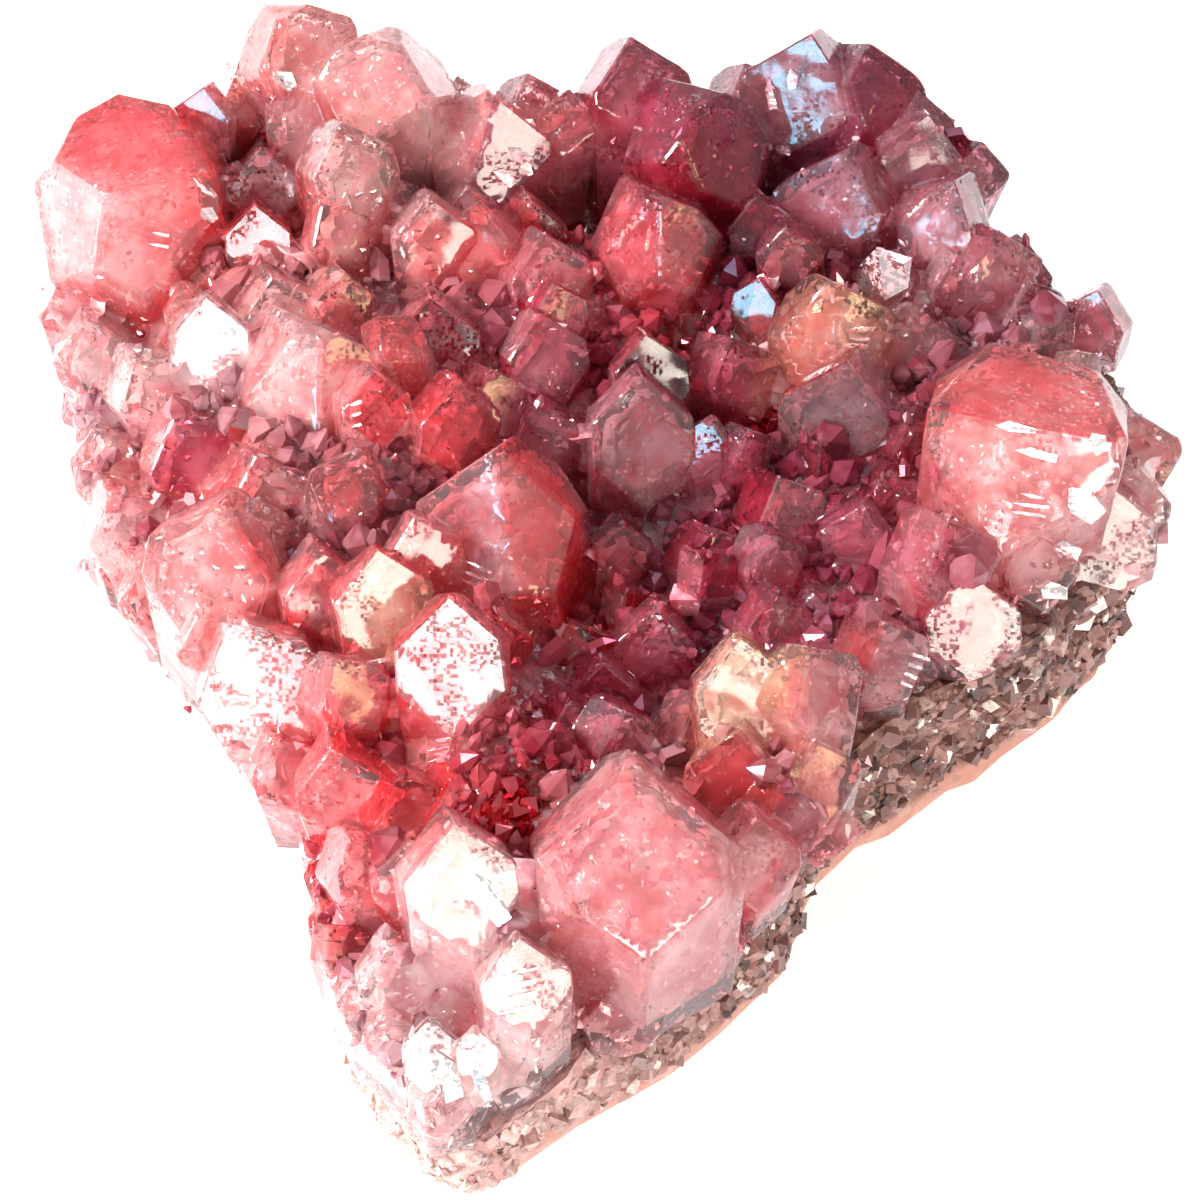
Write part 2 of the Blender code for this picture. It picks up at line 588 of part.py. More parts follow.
def crystal_points(helpers):
    """Every point of the crust and every column of its wall, as overlapping solids."""
    rng = random.Random(POINT_SEED)
    chosen = LEFT_RIM + BACK_RIM + BOWL + RIGHT_RIM + FRONT_TIP
    crust = bmesh.new()
    for point in (*chosen, *filler_points(chosen, rng), *column_points(rng)):
        quartz_point(crust, point, seam_height(point.x, point.y) - ROOT_DEPTH, rng)
    return as_helper(object_of(crust, "points", helpers))


def keep_largest(obj):
    """Drops any hollow that the union closed off inside the solid."""
    bm = bmesh.new()
    bm.from_mesh(obj.data)
    unseen = set(bm.verts)
    largest = set()
    while unseen:
        island = {unseen.pop()}
        reached = list(island)
        while reached:
            vert = reached.pop()
            for edge in vert.link_edges:
                other = edge.other_vert(vert)
                if other in unseen:
                    unseen.discard(other)
                    island.add(other)
                    reached.append(other)
        if len(island) > len(largest):
            largest = island
    bmesh.ops.delete(bm, geom=[vert for vert in bm.verts if vert not in largest], context="VERTS")
    bm.to_mesh(obj.data)
    bm.free()


def amethyst_crystals(parts, helpers):
    """The crust and all its points, fused into one solid that ends at the seam."""
    crust = slab("amethyst_crystals", crust_outline(), CRUST_BOTTOM, ROCK_TOP, parts)
    bowl = block_under("under the crust", crust_height, CRUST_BLOCK_BOTTOM, CRUST_CELLS, helpers)
    boolean(crust, bowl, "INTERSECT")
    boolean(crust, crystal_points(helpers), "UNION", use_self=True)
    seam = block_under("seam and rock", seam_gap_height, SEAM_BLOCK_BOTTOM, SEAM_CELLS, helpers)
    boolean(crust, seam, "DIFFERENCE")
    bake(crust)
    keep_largest(crust)
    return crust


def main():
    clear_scene()
    parts = named_collection("dyed amethyst cluster")
    helpers = named_collection("cutters", shown=False)
    rock = rock_matrix(parts, helpers)
    rock.data.materials.append(material("host rock", (0.30, 0.20, 0.17), 0.85))
    crystals = amethyst_crystals(parts, helpers)
    crystals.data.materials.append(material("dyed amethyst", (0.55, 0.13, 0.17), 0.08))


main()
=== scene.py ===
import math
import random

import bpy
import numpy as np
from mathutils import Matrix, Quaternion, Vector, noise


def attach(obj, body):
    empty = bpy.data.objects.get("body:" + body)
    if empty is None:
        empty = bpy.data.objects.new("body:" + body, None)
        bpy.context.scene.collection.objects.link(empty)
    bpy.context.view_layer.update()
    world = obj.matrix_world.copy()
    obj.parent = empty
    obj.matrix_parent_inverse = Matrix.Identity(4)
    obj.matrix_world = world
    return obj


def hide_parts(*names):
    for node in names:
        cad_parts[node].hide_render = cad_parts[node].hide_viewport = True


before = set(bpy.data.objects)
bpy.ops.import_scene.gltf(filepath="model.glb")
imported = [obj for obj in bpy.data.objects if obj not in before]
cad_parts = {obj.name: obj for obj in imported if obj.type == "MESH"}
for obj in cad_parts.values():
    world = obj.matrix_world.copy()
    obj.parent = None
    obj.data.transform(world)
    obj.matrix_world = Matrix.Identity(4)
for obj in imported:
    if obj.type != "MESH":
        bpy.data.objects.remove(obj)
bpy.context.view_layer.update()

mm = 0.001
mergeWithin = 0.005 * mm
quartzIor = 1.545
smallShare = 2.2  # of what is scattered; the higher, the more of it is small


def say(text):
    print("cluster:", text)


# ---- small helpers, used by every piece

def makeActive(obj):
    # an operator works on all that is selected, so nothing else stays selected
    bpy.ops.object.select_all(action="DESELECT")
    obj.select_set(True)
    bpy.context.view_layer.objects.active = obj


def applyModifier(obj, kind, **settings):
    makeActive(obj)
    step = obj.modifiers.new(kind.lower(), kind)
    for name, value in settings.items():
        setattr(step, name, value)
    bpy.ops.object.modifier_apply(modifier=step.name)


def applyNodes(obj, tree):
    makeActive(obj)
    step = obj.modifiers.new("nodes", "NODES")
    step.node_group = tree
    bpy.ops.object.modifier_apply(modifier=step.name)


def triangleCount(obj):
    return sum(len(face.vertices) - 2 for face in obj.data.polygons)


def vertexPlaces(obj):
    places = np.empty(len(obj.data.vertices) * 3)
    obj.data.vertices.foreach_get("co", places)
    return places.reshape(-1, 3)


def copyOfNode(nodeName, pieceName, flatWithin):
    # the node's own mesh is loose triangles and stays as it is; the copy is merged
    piece = bpy.data.objects.new(pieceName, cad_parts[nodeName].data.copy())
    bpy.context.scene.collection.objects.link(piece)
    piece.data.materials.clear()
    makeActive(piece)
    bpy.ops.mesh.customdata_custom_splitnormals_clear()
    bpy.ops.object.mode_set(mode="EDIT")
    bpy.ops.mesh.select_all(action="SELECT")
    bpy.ops.mesh.remove_doubles(threshold=mergeWithin)
    bpy.ops.mesh.dissolve_limited(angle_limit=math.radians(flatWithin))
    bpy.ops.object.mode_set(mode="OBJECT")
    return piece


def splitLongEdges(obj, longest, rounds):
    # every edge over the wanted length is halved, round after round
    makeActive(obj)
    for _ in range(rounds):
        places = vertexPlaces(obj)
        ends = np.empty(len(obj.data.edges) * 2, int)
        obj.data.edges.foreach_get("vertices", ends)
        ends = ends.reshape(-1, 2)
        tooLong = np.linalg.norm(places[ends[:, 0]] - places[ends[:, 1]], axis=1) > longest
        if not tooLong.any():
            break
        bpy.ops.object.mode_set(mode="EDIT")
        bpy.ops.mesh.select_mode(type="EDGE")
        bpy.ops.mesh.select_all(action="DESELECT")
        bpy.ops.object.mode_set(mode="OBJECT")
        obj.data.edges.foreach_set("select", tooLong)
        bpy.ops.object.mode_set(mode="EDIT")
        bpy.ops.mesh.subdivide(number_cuts=1)
        bpy.ops.mesh.select_all(action="SELECT")
        bpy.ops.mesh.quads_convert_to_tris(quad_method="SHORTEST_DIAGONAL", ngon_method="BEAUTY")
        bpy.ops.object.mode_set(mode="OBJECT")


def roughenBy(obj, kind, size, depth, group=""):
    pattern = bpy.data.textures.new(f"{obj.name} {kind.lower()}", kind)
    pattern.noise_scale = size * mm
    applyModifier(
        obj, "DISPLACE", texture=pattern, texture_coords="LOCAL",
        strength=depth * mm, mid_level=0.5, vertex_group=group,
    )


def shadeByAngle(obj, degrees):
    makeActive(obj)
    bpy.ops.object.shade_smooth_by_angle(angle=math.radians(degrees))


def scatter(name, surface, models, density, size, lean, seed, weights=None):
    # points on the surface, a model on each, realized into one mesh
    holder = bpy.data.objects.new(name, bpy.data.meshes.new(name))
    bpy.context.scene.collection.objects.link(holder)
    tree = bpy.data.node_groups.new(name, "GeometryNodeTree")
    tree.interface.new_socket("Geometry", in_out="INPUT", socket_type="NodeSocketGeometry")
    tree.interface.new_socket("Geometry", in_out="OUTPUT", socket_type="NodeSocketGeometry")

    def add(kind, **settings):
        node = tree.nodes.new(kind)
        for key, value in settings.items():
            setattr(node, key, value)
        return node

    def link(source, target):
        tree.links.new(source, target)

    ground = add("GeometryNodeObjectInfo")
    ground.inputs["Object"].default_value = surface
    dots = add("GeometryNodeDistributePointsOnFaces", distribute_method="RANDOM")
    dots.inputs["Seed"].default_value = seed
    link(ground.outputs["Geometry"], dots.inputs["Mesh"])
    dots.inputs["Density"].default_value = density
    if weights:
        weight = add("GeometryNodeInputNamedAttribute", data_type="FLOAT")
        weight.inputs["Name"].default_value = weights
        dense = add("ShaderNodeMath", operation="MULTIPLY")
        link(weight.outputs[0], dense.inputs[0])
        dense.inputs[1].default_value = density
        link(dense.outputs[0], dots.inputs["Density"])
    aside = add("FunctionNodeRandomValue", data_type="FLOAT_VECTOR")
    aside.inputs["Min"].default_value = (-lean, -lean, -lean)
    aside.inputs["Max"].default_value = (lean, lean, lean)
    aside.inputs["Seed"].default_value = seed + 1
    towards = add("ShaderNodeVectorMath", operation="ADD")
    link(dots.outputs["Normal"], towards.inputs[0])
    link(aside.outputs[0], towards.inputs[1])
    stand = add("FunctionNodeAlignRotationToVector", axis="Z")
    link(towards.outputs[0], stand.inputs["Vector"])
    grown = add("FunctionNodeRandomValue", data_type="FLOAT")
    grown.inputs[2].default_value = 0.0
    grown.inputs[3].default_value = 1.0
    grown.inputs["Seed"].default_value = seed + 2
    skew = add("ShaderNodeMath", operation="POWER")
    link(grown.outputs[1], skew.inputs[0])
    skew.inputs[1].default_value = smallShare
    large = add("ShaderNodeMapRange")
    link(skew.outputs[0], large.inputs["Value"])
    large.inputs["To Min"].default_value = size[0]
    large.inputs["To Max"].default_value = size[1]
    box = bpy.data.collections.new(name + " models")
    for model in models:
        box.objects.link(model)
    kinds = add("GeometryNodeCollectionInfo")
    kinds.inputs["Collection"].default_value = box
    kinds.inputs["Separate Children"].default_value = True
    kinds.inputs["Reset Children"].default_value = True
    placed = add("GeometryNodeInstanceOnPoints")
    placed.inputs["Pick Instance"].default_value = True
    link(dots.outputs["Points"], placed.inputs["Points"])
    link(kinds.outputs["Instances"], placed.inputs["Instance"])
    link(stand.outputs[0], placed.inputs["Rotation"])
    link(large.outputs["Result"], placed.inputs["Scale"])
    spin = add("FunctionNodeRandomValue", data_type="FLOAT")
    spin.inputs[2].default_value = 0.0
    spin.inputs[3].default_value = math.tau
    spin.inputs["Seed"].default_value = seed + 3
    turn = add("ShaderNodeCombineXYZ")
    link(spin.outputs[1], turn.inputs["Z"])
    turned = add("GeometryNodeRotateInstances")
    link(placed.outputs[0], turned.inputs["Instances"])
    link(turn.outputs[0], turned.inputs["Rotation"])
    real = add("GeometryNodeRealizeInstances")
    link(turned.outputs[0], real.inputs[0])
    out = add("NodeGroupOutput")
    link(real.outputs[0], out.inputs[0])
    applyNodes(holder, tree)
    for model in models:
        bpy.data.objects.remove(model)
    return holder


class Nodes:
    # a short way to write a material's node tree
    def __init__(self, name):
        self.material = bpy.data.materials.new(name)
        self.material.use_nodes = True
        self.tree = self.material.node_tree
        self.shader = self.tree.nodes["Principled BSDF"]
        self.place = self.tree.nodes.new("ShaderNodeTexCoord").outputs["Object"]

    def link(self, source, socket):
        if hasattr(source, "is_output"):
            self.tree.links.new(source, socket)
        elif socket.type == "RGBA":
            socket.default_value = (*source, 1.0)
        else:
            socket.default_value = source

    def add(self, kind, settings=None, **inputs):
        node = self.tree.nodes.new("ShaderNode" + kind)
        for name, value in (settings or {}).items():
            setattr(node, name, value)
        for name, value in inputs.items():
            self.link(value, node.inputs[name.replace("_", " ")])
        return node

    def attribute(self, name):
        return self.add("Attribute", {"attribute_name": name}).outputs

    def noise(self, scale, detail=4.0, rough=0.6, place=None):
        made = self.add(
            "TexNoise", Vector=place or self.place, Scale=scale, Detail=detail, Roughness=rough,
        )
        return made.outputs["Fac"]

    def cells(self, scale):
        return self.add("TexVoronoi", Vector=self.place, Scale=scale).outputs["Color"]

    def part(self, vector, axis):
        return self.add("SeparateXYZ", Vector=vector).outputs[axis]

    def ramp(self, factor, low, high, start=0.0, end=1.0):
        made = self.add("MapRange", {"interpolation_type": "SMOOTHSTEP"}, Value=factor)
        made.inputs["From Min"].default_value = low
        made.inputs["From Max"].default_value = high
        made.inputs["To Min"].default_value = start
        made.inputs["To Max"].default_value = end
        return made.outputs["Result"]

    def math(self, operation, first, second=0.0):
        return self.combine("Math", operation, first, second)

    def mix(self, factor, first, second, blend="MIX"):
        made = self.add("Mix", {"data_type": "RGBA", "blend_type": blend})
        self.link(factor, made.inputs[0])
        self.link(first, made.inputs[6])
        self.link(second, made.inputs[7])
        return made.outputs[2]

    def multiplied(self, first, second, amount=1.0):
        return self.mix(amount, first, second, "MULTIPLY")

    def combine(self, kind, operation, first, second):
        made = self.add(kind, {"operation": operation})
        self.link(first, made.inputs[0])
        self.link(second, made.inputs[1])
        return made.outputs[0]

    def stretched(self, factors):
        return self.add("Mapping", Vector=self.place, Scale=factors).outputs[0]

    def bump(self, height, depth, strength):
        made = self.add("Bump", Height=height, Distance=depth * mm, Strength=strength)
        return made.outputs["Normal"]

    def specks(self, size):
        # every small cube of space has a random colour of its own
        cube = self.combine("VectorMath", "SNAP", self.place, (size, size, size))
        return self.add("TexWhiteNoise", {"noise_dimensions": "3D"}, Vector=cube).outputs["Color"]

    def glitter(self, cell, tilt, share, amount, under):
        # a share of the surface's small cells lean their own way, so a few of them catch a lamp
        picked = self.math("LESS_THAN", self.part(cell, "Z"), share)
        much = self.math("MULTIPLY", self.math("MULTIPLY", picked, amount), tilt)
        lean = self.combine("VectorMath", "SUBTRACT", cell, (0.5, 0.5, 0.5))
        scaled = self.add("VectorMath", {"operation": "SCALE"}, Scale=much)
        self.link(lean, scaled.inputs[0])
        leant = self.combine("VectorMath", "ADD", under, scaled.outputs[0])
        unit = self.add("VectorMath", {"operation": "NORMALIZE"})
        self.link(leant, unit.inputs[0])
        return unit.outputs[0]

    def shine(self, **inputs):
        for name, value in inputs.items():
            self.link(value, self.shader.inputs[name.replace("_", " ")])


# ---- camera, set before anything that depends on the view

view = {
    "target": (0.0, 0.0, 18.0 * mm),
    "elevation": 50.0,
    "distance": 360.0 * mm,
    "frameWidth": 102.0 * mm,  # what the picture's width takes in at the target
    "sensor": 36.0,
    "nearest": 0.01,
}


def addCamera():
    tilt = math.radians(view["elevation"])
    away = Vector((0.0, -math.cos(tilt), math.sin(tilt)))
    bpy.ops.object.camera_add(
        location=Vector(view["target"]) + away * view["distance"],
        rotation=(math.radians(90) - tilt, 0.0, 0.0),
    )
    camera = bpy.context.object
    camera.name = "studioCamera"
    camera.data.sensor_width = view["sensor"]
    camera.data.lens = view["sensor"] * view["distance"] / view["frameWidth"]
    camera.data.clip_start = view["nearest"]
    bpy.context.scene.camera = camera


# ---- colour by place on the cluster, partly how the dye took and partly painted light and shade: paler patches where light falls from the left, darker ones in shade

# colours of the dye and of painted light: the pale ones partly stand for light, the cream, honey and grey
# ones for glints and sheen
tints = {
    "snow": (0.99, 0.88, 0.86),
    "blush": (0.98, 0.70, 0.68),
    "rose": (0.96, 0.42, 0.44),
    "salmon": (0.96, 0.54, 0.51),
    "cherry": (0.98, 0.22, 0.25),
    "ruby": (0.86, 0.14, 0.18),
    "wine": (0.58, 0.12, 0.21),
    "plum": (0.76, 0.22, 0.33),
    "mauve": (0.56, 0.22, 0.32),
    "smoke": (0.76, 0.42, 0.47),
    "dusk": (0.84, 0.48, 0.49),
    "honey": (0.96, 0.66, 0.53),
    "bronze": (0.50, 0.22, 0.15),
    "cream": (0.97, 0.84, 0.68),
    "ash": (0.74, 0.52, 0.54),
    "slate": (0.36, 0.20, 0.23),
}

# x and y in millimetres from the middle, how far the patch reaches, and its colour, dye mixed with painted
# light and shade
dyeAndLightPatches = (
    (-37, 33, 5, "salmon"), (-42, 37, 4, "rose"), (-33, 37, 5, "cherry"), (-48, 36, 6, "blush"),
    (-46, 24, 7, "snow"), (-34, 23, 4, "snow"), (-40, 44, 5, "cherry"), (-30, 45, 5, "smoke"),
    (-27, 50, 6, "salmon"), (-19, 50, 7, "snow"), (-22, 36, 7, "blush"), (-26, 18, 5, "blush"),
    (-19, 16, 6, "rose"), (-36, 13, 5, "rose"), (-33, -1, 6, "blush"), (-28, -4, 4, "cherry"),
    (-22, 5, 5, "dusk"), (-43, 10, 7, "blush"), (-36, -8, 6, "blush"), (-30, -14, 6, "snow"),
    (-18, -7, 4, "rose"), (-13, -15, 5, "rose"), (-21, -18, 7, "cherry"), (-16, -26, 7, "cherry"),
    (-11, 0, 5, "rose"), (-4, -2, 6, "cherry"), (-15, 26, 6, "rose"), (-6, 43, 8, "rose"),
    (9, 41, 8, "wine"), (3, 52, 5, "wine"), (18, 48, 6, "mauve"), (28, 48, 7, "wine"),
    (36, 33, 8, "smoke"), (14, 35, 6, "wine"), (3, 30, 7, "ruby"), (-4, 24, 6, "plum"),
    (4, 12, 6, "smoke"), (20, 24, 5, "honey"), (22, 17, 6, "wine"), (16, 5, 10, "plum"),
    (2, -11, 8, "plum"), (8, 14, 6, "plum"), (36, 8, 8, "salmon"), (33, 3, 4, "blush"), (42, 1, 6, "snow"),
    (47, 12, 5, "snow"), (30, -3, 6, "plum"), (11, -18, 4, "cream"), (19, -17, 3, "dusk"),
    (14, -26, 5, "rose"), (2, -29, 5, "blush"), (3, -35, 4, "rose"), (4, -39, 6, "dusk"),
    (4, -45, 6, "blush"), (-13, -38, 7, "snow"), (-11, -47, 7, "snow"), (27, -9, 5, "dusk"),
    (-9, -24, 6, "ruby"), (20, -22, 4, "blush"), (33, -8, 5, "blush"), (38, -3, 5, "blush"),
)

# how the borders between the patches wander, in millimetres
wander = {"size": 6, "reach": 4, "seed": 1}


def dyeLightAndShadeAt(places):
    # nearby patches are blended, and the borders wander so that no round spot shows
    noise.seed_set(wander["seed"])
    aside = np.array([noise.noise_vector(Vector(place) / (wander["size"] * mm)) for place in places])
    x = places[:, 0] / mm + aside[:, 0] * wander["reach"]
    y = places[:, 1] / mm + aside[:, 1] * wander["reach"]
    total = np.full(len(places), 1e-9)
    colour = np.zeros((len(places), 3))
    for patchX, patchY, reach, dye in dyeAndLightPatches:
        weight = np.exp(-((x - patchX) ** 2 + (y - patchY) ** 2) / reach ** 2) / reach
        total += weight
        colour += weight[:, None] * np.array(tints[dye])
    return colour / total[:, None]


# painted shade: the colour darkens in the clefts, and deepens with how far a place lies below its
# surroundings
cleftShade = {
    "cell": 2.0,  # of the map of heights, in millimetres, as are the lines below
    "from": 2.5,
    "over": 7.0,
    "cells": 60,
    "soften": 4,
    # the colour of the painted shade
    "tone": (0.78, 0.46, 0.52),
}


def mapTops(places):
    # the crust's own height, cell by cell, softened until single points no longer show
    tops = np.zeros((cleftShade["cells"], cleftShade["cells"]))
    np.maximum.at(tops, gridCells(places), places[:, 2] / mm)
    for _ in range(cleftShade["soften"]):
        sides = [np.roll(tops, step, axis) for axis in (0, 1) for step in (1, -1)]
        tops = (tops + sum(sides)) / 5
    return tops


def gridCells(places):
    middle = cleftShade["cells"] / 2
    return tuple((places[:, :2] / mm / cleftShade["cell"] + middle).astype(int).T)


def paintDyeLightAndShade(piece, tops):
    places = vertexPlaces(piece)
    # painted shade: places below the crust's softened height are darkened towards the cleft tone
    sunk = (tops[gridCells(places)] - places[:, 2] / mm - cleftShade["from"]) / cleftShade["over"]
    deep = np.clip(sunk, 0.0, 1.0)[:, None]
    colour = dyeLightAndShadeAt(places) * (1.0 - deep + deep * np.array(cleftShade["tone"]))
    layer = piece.data.color_attributes.new("dye", "FLOAT_COLOR", "POINT")
    layer.data.foreach_set("color", np.column_stack([colour, np.ones(len(colour))]).ravel())


def paintFacets(piece, seed):
    # every face has a tone of its own, as each meets the light and the dye a little differently
    rng = random.Random(seed)
    layer = piece.data.attributes.new("facet", "FLOAT", "FACE")
    layer.data.foreach_set("value", [rng.random() for _ in piece.data.polygons])


def paintIslands(piece, seed):
    # a whole grain or flake has one tone, told by where its first corner lies
    layer = piece.data.attributes.new("facet", "FLOAT", "FACE")
    islandOf = np.arange(len(piece.data.vertices))
    ends = np.empty(len(piece.data.edges) * 2, int)
    piece.data.edges.foreach_get("vertices", ends)
    first, second = ends.reshape(-1, 2).T
    for _ in range(4):
        lower = np.minimum(islandOf[first], islandOf[second])
        np.minimum.at(islandOf, first, lower)
        np.minimum.at(islandOf, second, lower)
    tones = np.random.default_rng(seed).random(len(islandOf))
    layer.data.foreach_set("value", [tones[islandOf[face.vertices[0]]] for face in piece.data.polygons])


# faces with a colour of their own, partly dye and partly painted light: cream and honey faces stand for
# glints, ash and slate for sheen and shade, snow for light on a face in shade; the middle of the face in
# millimetres, and its colour
facetDyesAndLight = (
    (-47.7, 37.9, 25.9, "blush"), (-35.7, 35.0, 23.5, "rose"), (-41.7, 43.0, 30.1, "rose"),
    (-27.2, 16.3, 25.9, "blush"), (-18.2, 13.5, 27.1, "cherry"), (-12.8, 22.3, 24.8, "wine"),
    (-35.1, 13.1, 20.9, "plum"), (-21.0, 4.4, 27.7, "dusk"), (3.7, 12.4, 24.4, "ash"),
    (4.5, 19.0, 25.5, "slate"), (-11.0, -1.4, 24.8, "smoke"), (-5.9, 0.5, 27.6, "rose"),
    (-17.3, -8.9, 24.8, "cream"), (-26.1, 51.8, 33.1, "blush"), (-20.0, 48.1, 33.1, "blush"),
    (-21.8, 37.5, 32.9, "snow"), (5.3, 43.8, 32.8, "wine"), (10.3, 37.7, 25.6, "wine"),
    (0.3, 51.3, 31.9, "mauve"), (17.1, 26.4, 27.5, "bronze"), (23.1, 23.1, 26.8, "honey"),
    (21.0, 15.5, 22.3, "slate"), (34.4, 2.9, 29.7, "blush"), (37.9, 9.8, 32.5, "rose"),
    (11.7, -18.3, 25.8, "cream"), (18.6, -17.7, 27.8, "dusk"), (10.9, -23.5, 22.4, "ruby"),
    (15.8, -26.9, 22.6, "wine"), (-1.5, -40.6, 19.2, "dusk"), (6.7, -40.7, 18.5, "dusk"),
    (-20.1, -15.0, 24.9, "cherry"), (-11.6, -16.0, 26.8, "snow"), (-21.0, -24.0, 21.0, "cherry"),
    (38.4, 1.0, 24.1, "blush"), (24.0, -11.5, 23.7, "smoke"), (30.2, -2.4, 25.4, "wine"),
    (-8.0, 43.5, 27.1, "mauve"), (3.2, -36.3, 30.3, "rose"), (47.2, 13.1, 22.7, "blush"),
    (16.5, 6.9, 21.0, "smoke"),
)


def paintChosenFacets(piece):
    layer = piece.data.attributes.new("ownDye", "FLOAT_COLOR", "FACE")
    middles = [face.center.copy() for face in piece.data.polygons]
    layer.data.foreach_set("color", [0.0] * 4 * len(middles))
    for x, y, z, dye in facetDyesAndLight:
        place = Vector((x, y, z)) * mm
        nearest = min(range(len(middles)), key=lambda index: (middles[index] - place).length)
        layer.data[nearest].color = (*tints[dye], 1.0)


# ---- the crust of points

crust = {
    "flatWithin": 1.5,  # degrees; faces flatter than this to each other are one face
    "edgeWidth": 0.16,
    "edgeAngle": 25,  # degrees; only sharper edges are worn
    "longestEdge": 1.3 * mm,
    "waves": (3.0, 0.16),  # size and depth in millimetres, as are the two below
    "chips": (1.1, 0.07),
    "brokenFloor": (2.2, 2.0),
    "floorBelow": 26.0,  # in millimetres; level faces above this are broken tips
    "level": (10.0, 8.2),  # how sharply level ground is told from slopes
    "splitFrom": 0.3,
    "smoothWithin": 24,
    "seed": 8,
    "clearness": 0.91,  # how much light goes through the skin of a point
    "haze": (0.05, 0.17),  # how much the skin blurs what lies under it
    "clouds": 200.0,  # to the metre
    "almostClear": (1.0, 0.93, 0.93),
    "sparkSize": 0.27 * mm,
    "sparkTilt": 1.1,
    "sparkShare": 0.4,
    "growthLines": (70.0, 70.0, 2400.0),  # to the metre, few along a side and many up it
    "lineDepth": 0.04,
    "steepBelow": (0.25, 0.55),  # only steep sides have them
}


def quartzMaterial():
    m = Nodes("dyedQuartz")
    # the dye colours carry painted light and shade, and the chosen faces' colours painted glints and sheen
    own = m.attribute("ownDye")
    dye = m.mix(own["Alpha"], m.attribute("dye")["Color"], own["Color"])
    facet = m.attribute("facet")["Fac"]
    secondTone = m.math("FRACT", m.math("MULTIPLY", facet, 7.31))
    clouds = m.noise(crust["clouds"], 2.0, 0.6)
    skin = m.mix(m.ramp(facet, 0.0, 1.0, 0.35, 1.0), crust["almostClear"], dye)
    toned = m.mix(m.ramp(secondTone, 0.2, 0.9), skin, m.multiplied(skin, dye))
    tinted = m.mix(m.ramp(clouds, 0.35, 0.65, 0.6, 0.0), toned, m.multiplied(toned, dye, 0.75))
    steepness = m.part(m.add("NewGeometry").outputs["Normal"], "Z")
    side = m.ramp(steepness, *crust["steepBelow"], 1.0, 0.10)
    lines = m.noise(1.0, 1.0, 0.6, place=m.stretched(crust["growthLines"]))
    bumped = m.bump(m.math("MULTIPLY", lines, side), crust["lineDepth"], 0.7)
    specks = m.specks(crust["sparkSize"])
    patchy = m.ramp(clouds, 0.50, 0.60)
    sparkle = m.glitter(specks, crust["sparkTilt"], crust["sparkShare"], patchy, bumped)
    m.shine(
        Base_Color=tinted, Roughness=m.ramp(clouds, 0.3, 0.7, *crust["haze"]),
        Transmission_Weight=crust["clearness"], IOR=quartzIor, Normal=sparkle,
    )
    return m.material


def lowness(piece):
    # one where the crust lies level between its points, nothing on the points themselves
    places = vertexPlaces(piece) / mm
    normals = np.empty(len(places) * 3)
    piece.data.vertex_normals.foreach_get("vector", normals)
    times, less = crust["level"]
    level = np.clip(normals.reshape(-1, 3)[:, 2] * times - less, 0.0, 1.0)
    return level * np.clip(crust["floorBelow"] - places[:, 2], 0.0, 1.0)


def roughenLow(piece):
    # the floor between the points is finely broken ground, so it is split finer and moved further
    chosen = lowness(piece) > crust["splitFrom"]
    makeActive(piece)
    bpy.ops.object.mode_set(mode="EDIT")
    bpy.ops.mesh.select_mode(type="FACE")
    bpy.ops.mesh.select_all(action="DESELECT")
    bpy.ops.object.mode_set(mode="OBJECT")
    for face in piece.data.polygons:
        face.select = bool(chosen[face.vertices].any())
    bpy.ops.object.mode_set(mode="EDIT")
    bpy.ops.mesh.subdivide(number_cuts=1)
    bpy.ops.mesh.select_all(action="SELECT")
    bpy.ops.mesh.quads_convert_to_tris(quad_method="SHORTEST_DIAGONAL", ngon_method="BEAUTY")
    bpy.ops.object.mode_set(mode="OBJECT")
    low = lowness(piece)
    group = piece.vertex_groups.new(name="brokenFloor")
    for index in np.nonzero(low > 0.0)[0]:
        group.add([int(index)], float(low[index]), "REPLACE")
    layer = piece.data.attributes.new("druse", "FLOAT", "POINT")
    layer.data.foreach_set("value", low)
    roughenBy(piece, "VORONOI", *crust["brokenFloor"], group="brokenFloor")


def makeCrystalCrust():
    piece = copyOfNode("amethyst_crystals", "crystalCrust", crust["flatWithin"])
    paintFacets(piece, crust["seed"])
    paintChosenFacets(piece)
    applyModifier(
        piece, "BEVEL", width=crust["edgeWidth"] * mm, segments=1, limit_method="ANGLE",
        angle_limit=math.radians(crust["edgeAngle"]), use_clamp_overlap=False,
    )
    splitLongEdges(piece, crust["longestEdge"], 6)
    roughenLow(piece)
    roughenBy(piece, "CLOUDS", *crust["waves"])
    roughenBy(piece, "CLOUDS", *crust["chips"])
    tops = mapTops(vertexPlaces(piece))
    paintDyeLightAndShade(piece, tops)
    shadeByAngle(piece, crust["smoothWithin"])
    piece.data.materials.append(quartzMaterial())
    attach(piece, "root")
    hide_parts("amethyst_crystals")
    say(f"crystal crust, {triangleCount(piece)} triangles")
    return piece, tops


# ---- the cloudy inside, seen through the clear skin

inside = {
    "grid": 0.8 * mm,
    "depth": 1.9,  # in millimetres, below the skin
    "lumps": (2.9, 2.2),  # size and depth in millimetres
    "smoothWithin": 60,
    "clouds": 230.0,  # to the metre
    "specks": 1300.0,  # to the metre
    "deep": (0.90, 0.38, 0.44),
    "milk": (1.0, 0.86, 0.87),
    "milkiness": 0.38,
    "speck": (1.0, 0.92, 0.90),
    "roughness": 0.35,
}


